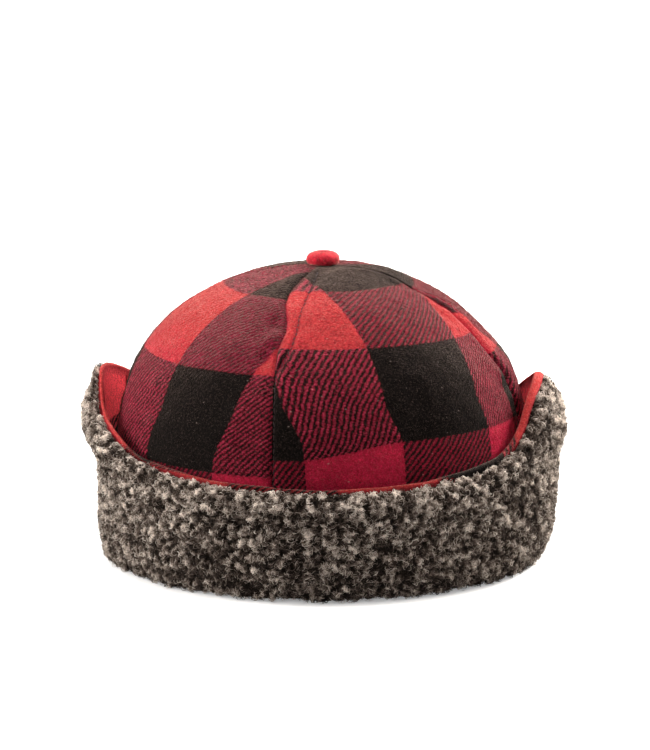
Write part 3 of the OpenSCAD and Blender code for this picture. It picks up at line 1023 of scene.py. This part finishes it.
def backing(flap, i):
    middle = section_middle(flap, i)
    azims = np.linspace(middle - HALF_SECTION, middle + HALF_SECTION, 19)
    rings, checks = (np.array(part) for part in zip(*map(backing_ring, azims)))
    # painted light and shade: the hat side is painted brighter towards its top, the hem and upper
    # fleece side painted darker
    dim = np.zeros(rings.shape[:2])
    dim[:, :24] = -0.42 * smooth(48, 62, rings[:, :24, 2])
    dim[:, 24] = 0.1
    dim[:, 25:36] = (0.66 - 0.26 * ear_share(azims, 26.0))[:, None]
    wool = make_mesh("%s_wool_%d" % (FLAPS[flap], i + 1), *loft(rings), CUFF_WOOL,
                     {"fab": capped(checks), "dim": capped(dim)})
    dress(wool, "%s_%d" % (FLAPS[flap], i + 1),
          "%s_backing_%d" % (FLAPS[flap], i + 1))


# ------------------------------------------------------------------ cuff fleece
def fleece_ring(azimuth):
    """Closed (radius, z) outline of the fleece at one azimuth, and its normals."""
    top = cuff_top(azimuth)
    base = FLEECE_RADIUS + 0.1
    thin = 1 - (0.10 if float(wrap(azimuth)) < 0 else 0.0) * smooth(66, 86, top)
    # up the inside, over the top, down the bowed outside, round the foot
    outline = [(base + 1.2, 4.5), (base + 0.2, 9), (base, 0.5 * top), (base, top - 3),
               (base + 0.4 * thin, top - 0.9), (base + 1.6 * thin, top + 0.1),
               (base + 3.2 * thin, top), (base + 4.7 * thin, top - 1.4),
               (base + (PILE - 0.2) * thin, top - 4.2)]
    outline += [(base + PILE * (1 - (1 - thin) * smooth(top - 34, top - 4, z))
                 + math.sin(math.pi * (z - 4) / (top - 4)), z)
                for z in np.linspace(top - 8, 15, 14)]
    outline += [(base + PILE + 0.2, 11), (base + PILE - 0.4, 7.5), (base + PILE - 1.6, 4.2),
                (base + PILE - 3.1, 2.3), (base + 2.4, 1.6), (base + 1.4, 1.9),
                (base + 1.1, 3.0), (base + 1.2, 4.5)]
    outline = np.array(outline)
    length = path_length(outline)
    # even steps on the outside, coarse on the hidden inner face
    along = np.concatenate([np.linspace(0, length[3], 8)[:-1],
                            np.linspace(length[3], length[-1], 169)])[:-1]
    ring = np.stack([np.interp(along, length, column) for column in outline.T], -1)
    for _ in range(2):
        ring = (np.roll(ring, 1, 0) + 2 * ring + np.roll(ring, -1, 0)) / 4
    ahead = unit(np.roll(ring, -1, 0) - np.roll(ring, 1, 0), 1e-9)
    return ring.T, (-ahead[:, 1], ahead[:, 0])


def tufts(points):
    """Height of the curly tufts, 0 in the gaps and about 1 on top, and their tone, which grows
    with the height: partly the wool's dark roots and pale tips, partly painted shade in the gaps
    and painted light on the tops.
    """
    x, y, z = np.moveaxis(points, -1, 0)
    azim = np.degrees(np.arctan2(x, -y))
    spot = np.stack([azim * 1.85, z * 1.12, np.hypot(x, y) * 0.55], -1)
    spot = spot + 1.5 * np.stack([value_noise(points, 7, 31), value_noise(points, 7, 32),
                                  0 * azim], -1)
    distance, number = nearest_speck(spot, 3.7, 50)
    small_distance, small_number = nearest_speck(spot, 2.1, 54)
    large = np.sqrt(np.clip(1 - (distance / 0.80) ** 2, 0, 1))
    small = np.sqrt(np.clip(1 - (small_distance / 0.85) ** 2, 0, 1))
    height = large * (0.45 + 0.55 * number) * 0.70 + small * 0.40
    # light wool on some tufts and dark on others
    pale = small_number - 0.5
    # the tone scales with height: painted shade in the gaps, painted light on the tuft tops
    return height, height * (0.42 + 0.42 * number + 0.48 * pale) + 0.10 * pale


def fleece_curls(flap, i, points, normals, surface, show, height, hair_tone):
    """Frizzy loops of fibre, thickest on the tufts."""
    rng = np.random.default_rng(1000 + 10 * flap + i)
    across = np.linalg.norm(points[1:, :-1] - points[:-1, :-1], axis=-1)
    along = np.linalg.norm(points[:-1, 1:] - points[:-1, :-1], axis=-1)
    area = np.clip(across * along, 0, 3.0) * (show[:-1] > 0.4)
    count = int(area.sum() / CURL_AREA)
    size = (count, 1)
    weights = area * (0.10 + np.clip(height[:-1, :-1], 0, 1.1))
    _, _, sample = scatter(rng, weights, count)
    root = sample(surface)
    normal = unit(sample(normals))
    along = unit(random_tangents(rng, normal))
    steps = 7
    t = np.linspace(0, 1, steps)[None]
    turns = rng.uniform(0.45, 1.05, size)
    phase = rng.uniform(0, 2 * np.pi, size)
    radius = rng.uniform(0.25, 0.80, size)
    length = rng.uniform(0.8, 3.2, size)
    angle = phase + turns * 2 * np.pi * t
    rise = rng.uniform(0.0, 1.0, size) ** 2 * 1.5 * np.sin(np.pi * t)
    paths = offset_paths(root, (along, length * (t - 0.5)),
                         (np.cross(normal, along), radius * np.cos(angle)),
                         (normal, 0.10 + radius * 0.7 * np.sin(angle) + rise))
    paths[..., 2] = np.maximum(paths[..., 2], 0.25)
    thick = rng.uniform(0.060, 0.150, count)
    verts, faces = tubes(paths, thick, sides=3, seed=77 + 10 * flap + i)
    tone = (0.01 + 1.06 * sample(hair_tone[..., None])[:, 0]
            + 0.06 * layered_noise(root, 14, 71, 2) + rng.normal(0, 0.21, count))
    curls = make_mesh("%s_curls_%d" % (FLAPS[flap], i + 1), verts, faces, CURL,
                      {"tone": np.repeat(np.clip(tone, 0, 1), steps * 3)})
    dress(curls, "%s_%d" % (FLAPS[flap], i + 1))


def fleece(flap, i):
    middle = section_middle(flap, i)
    points, normals = [], []
    for azimuth in np.linspace(middle - HALF_SECTION, middle + HALF_SECTION, 64):
        (radius, z), normal = fleece_ring(azimuth)
        azim = np.full(len(z), azimuth)
        outer = smooth(FLEECE_RADIUS + 1.5, FLEECE_RADIUS + 5.5, radius)
        radius = radius + lean(azim, z) + wobble(azim, z) + outer * belly(azim, z)
        points.append(place(azim, radius, z))
        normals.append(place(azim, *normal))
    points, normals = np.array(points), np.array(normals)
    # the hidden inner face stays smooth
    show = np.ones(points.shape[1])
    show[:7] = 0
    show[7:10] = np.linspace(0, 1, 3)
    height, tuft_tone = tufts(points)
    lift = show * (2.7 * (height - 0.62) + 0.9 * layered_noise(points, 17, 91, 2))
    surface = points + normals * lift[..., None]
    surface[..., 2] = np.maximum(surface[..., 2], 0.35)
    fine = layered_noise(points, 1.7, 73, 2)
    # painted shade: the tone of the fleece, and of its curls, is darker towards the foot of the
    # cuff
    shade = 0.80 + 0.20 * smooth(6, 34, points[..., 2])
    cloud = layered_noise(points, 14, 71, 2)
    tone = np.clip((-0.04 + 0.86 * tuft_tone + 0.08 * cloud + 0.34 * fine) * shade, 0, 1)
    name = "%s_fleece_%d" % (FLAPS[flap], i + 1)
    ground = make_mesh(name, *loft(surface), FLEECE, {"tone": capped(tone)})
    dress(ground, "%s_%d" % (FLAPS[flap], i + 1), name)
    fleece_curls(flap, i, points, normals, surface, show, height,
                 tuft_tone * shade + 0.26 * fine)


for flap in range(4):
    for i in range(4):
        backing(flap, i)
        fleece(flap, i)


# ------------------------------------------------------------------ inside
def lining(k):
    quilt = 34.0                                # pitch of the diamond quilting
    arc, across = np.meshgrid(np.linspace(5.5, arc_at_z(12.3), 120), np.linspace(-1, 1, 97),
                              indexing="ij")
    turn = across * np.radians(HALF_PANEL - 0.05)
    azim = panel_middle(k) + np.degrees(turn)
    radius, z = dome(arc)
    over = radius * turn
    # puffed pads between two sets of stitch lines
    puff = np.minimum(np.abs(np.sin((over + arc) * np.pi / quilt)),
                      np.abs(np.sin((over - arc) * np.pi / quilt))) ** 0.55
    edge = np.minimum(radius * (np.radians(HALF_PANEL) - np.abs(turn)), 4) / 4
    depth = 4.0 + 1.3 * puff * edge + 0.2 * layered_noise(place(azim, radius, z), 12, 15, 2)
    panel = make_mesh("lining_" + PANELS[k], *slab(off_dome(azim, arc, -3.15, least=0.7),
                                                   off_dome(azim, arc, -depth, least=0.6)), SATIN)
    dress(panel, "crown", "lining_panel_" + PANELS[k])


def sweatband():
    low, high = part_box("sweatband")
    outer, bottom, top = high.x / MM, low.z / MM, high.z / MM
    middle = 0.5 * (bottom + top)

    def sway(azim):
        return 0.25 * (1 + np.sin(np.radians(azim) * 9)) * 0.5
    # (radius, height): up the outer face, over the top, down the inner face
    section = np.array([
        (outer - 0.1, bottom + 0.6), (outer, bottom + 3), (outer, middle), (outer, top - 1),
        (outer - 0.15, top - 0.1), (outer - 0.55, top + 0.1), (outer - 0.95, top - 0.2),
        (outer - 1.1, top - 1.4), (outer - 1.05, top - 3.0), (outer - 1.15, middle),
        (outer - 1.2, bottom + 3), (outer - 1.25, bottom + 1), (outer - 0.9, bottom - 0.6),
        (outer - 0.5, bottom - 0.75), (outer - 0.15, bottom - 0.3)])
    count, size = 420, len(section)
    around = np.linspace(0, 360, count, endpoint=False)
    azim = around[:, None]
    rings = place(azim, section[:, 0] - sway(azim),
                  section[:, 1] + 0.25 * np.sin(np.radians(azim) * 5))
    faces = grid_faces(count, size, closed_rows=True, closed_columns=True, flip=True)
    fab = np.stack([np.repeat(around * math.pi / 180 * 92, size), np.tile(section[:, 1], count),
                    np.zeros(count * size)], -1)
    ribbon = make_mesh("sweatband_ribbon", rings.reshape(-1, 3), [faces], GROSGRAIN,
                       {"fab": fab})
    dress(ribbon, "crown", "sweatband")

    # ring of stitches inside, below the top edge
    stitches = 190
    t = np.linspace(0, 1, 5)
    azim = (np.arange(stitches) * 360 / stitches)[:, None] + t * 1.35
    paths = place(azim, outer - 1.15 - 0.22 * np.sin(np.pi * t) - sway(azim), top - 2.4)
    verts, faces = tubes(paths, 0.2, sides=5, seed=4)
    dress(make_mesh("sweatband_thread", verts, faces, LINING_THREAD), "crown")


def label():
    """Blank label inside the back of the band."""
    low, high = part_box("size_label")
    bottom, top = low.z / MM, high.z / MM
    half = 8.8                                  # degrees either side of the back
    azim, z = np.meshgrid(np.linspace(180 - half, 180 + half, 40), np.linspace(bottom, top, 22),
                          indexing="ij")
    curl = 0.35 * np.sin((z - bottom) / (top - bottom) * np.pi)
    curl = curl * np.cos((azim - 180) / half * np.pi / 2)
    outer, inner = (place(azim, high.y / MM - curl - depth, z) for depth in (0.05, 0.4))
    blank = make_mesh("size_label_blank", *slab(outer, inner), LABEL)
    dress(blank, "crown", "size_label")


for k in range(4):
    lining(k)
sweatband()
label()

# frame pieces kept as they are, with their materials
for material, names in (
        (TAPE, ("seam_tape_front", "seam_tape_left", "seam_tape_back", "seam_tape_right",
                "sweatband_reed")),
        (STEEL, ("button_shell", "button_post", "button_washer"))):
    for name in names:
        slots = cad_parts[name].data.materials
        slots.clear()
        slots.append(material)


# ------------------------------------------------------------------ stage
def floor_material():
    """Looks darker and glows a little to the camera, and bounces light as white."""
    mat = Shader("floor")
    cloud = mat.noise(mat.position(), scale=3.0, detail=2)
    camera_ray = mat.node("ShaderNodeLightPath").outputs["Is Camera Ray"]
    white = mat.mix(cloud, (0.93, 0.93, 0.93), (0.95, 0.95, 0.95))
    return mat.finish(Base_Color=mat.mix(camera_ray, (0.30, 0.30, 0.30), white),
                      Roughness=0.8, Specular_IOR_Level=0.1, Emission_Color=(1.0, 1.0, 1.0),
                      Emission_Strength=mat.mul(camera_ray, 0.35))


def floor():
    """Flat sweep, curving up into a wall behind; (y, z) in metres."""
    bend = [(1.2 + 1.0 * math.sin(t), 1.0 - 1.0 * math.cos(t))
            for t in np.linspace(0, np.pi / 2, 20)]
    profile = [(-3.0, 0.0), (1.2, 0.0)] + bend + [(2.2, 4.5)]
    columns = 60
    grid = np.array([[(x, y, z) for x in np.linspace(-4, 4, columns)] for y, z in profile]) / MM
    make_mesh("floor", grid.reshape(-1, 3), [grid_faces(len(profile), columns)],
                       floor_material())


floor()


def aim(thing, direction):
    thing.rotation_mode = "QUATERNION"
    thing.rotation_quaternion = direction.to_track_quat("-Z", "Y")


def area(name, at, size, watts, colour=(1, 1, 1), toward=(0, 0, 0.06)):
    """Rectangular light; places and sizes in metres."""
    light = bpy.data.lights.new(name, "AREA")
    light.shape = "RECTANGLE"
    light.size, light.size_y = size
    light.energy = watts
    light.color = colour
    lamp = add_object(name, light)
    lamp.location = at
    aim(lamp, Vector(toward) - Vector(at))


area("top", at=(0.0, 0.10, 1.15), size=(0.8, 0.6), watts=20.0, colour=(1.0, 0.97, 0.93))
area("side_left", at=(-1.1, 0.05, 0.30), size=(0.5, 0.6), watts=21.5, colour=(1.0, 0.97, 0.92))
area("side_right", at=(0.95, 0.14, 0.74), size=(0.55, 0.7), watts=10.5, colour=(1.0, 0.96, 0.90))
area("back_right", at=(0.8, 0.8, 0.6), size=(0.5, 0.6), watts=36.0, colour=(1.0, 0.96, 0.90))
area("front_left", at=(-0.9, -0.9, 0.6), size=(0.5, 0.5), watts=6.5, colour=(1.0, 0.98, 0.96))
area("front_right", at=(1.0, -0.55, 0.62), size=(0.4, 0.4), watts=3.5, colour=(1.0, 0.97, 0.93),
     toward=(-0.03, 0, 0.07))
area("back_wash", at=(0, 1.0, 1.8), size=(2.4, 0.8), watts=60.0, toward=(0, 2.1, 0.9))

world = bpy.data.worlds.new("studio")
world.use_nodes = True
background = world.node_tree.nodes["Background"]
background.inputs["Color"].default_value = (1, 1, 1, 1)
background.inputs["Strength"].default_value = 0.05
bpy.context.scene.world = world


def camera():
    elevation, distance = math.radians(12.0), 1.774
    # the view is turned a little up and right of the target, as tangents
    turn_up, turn_right = 0.0148648649, 0.000540540541
    lens = bpy.data.cameras.new("camera")
    lens.lens = 177.6
    lens.sensor_width = 36.0
    lens.clip_end = 30
    view = add_object("camera", lens)
    target = Vector((0, 0, 0.0583))
    back = Vector((0, -math.cos(elevation), math.sin(elevation)))
    view.location = target + back * distance
    ahead = (target - view.location).normalized()
    right = Vector((1, 0, 0))
    aim(view, (ahead + right.cross(ahead) * turn_up + right * turn_right).normalized())
    bpy.context.scene.camera = view


camera()
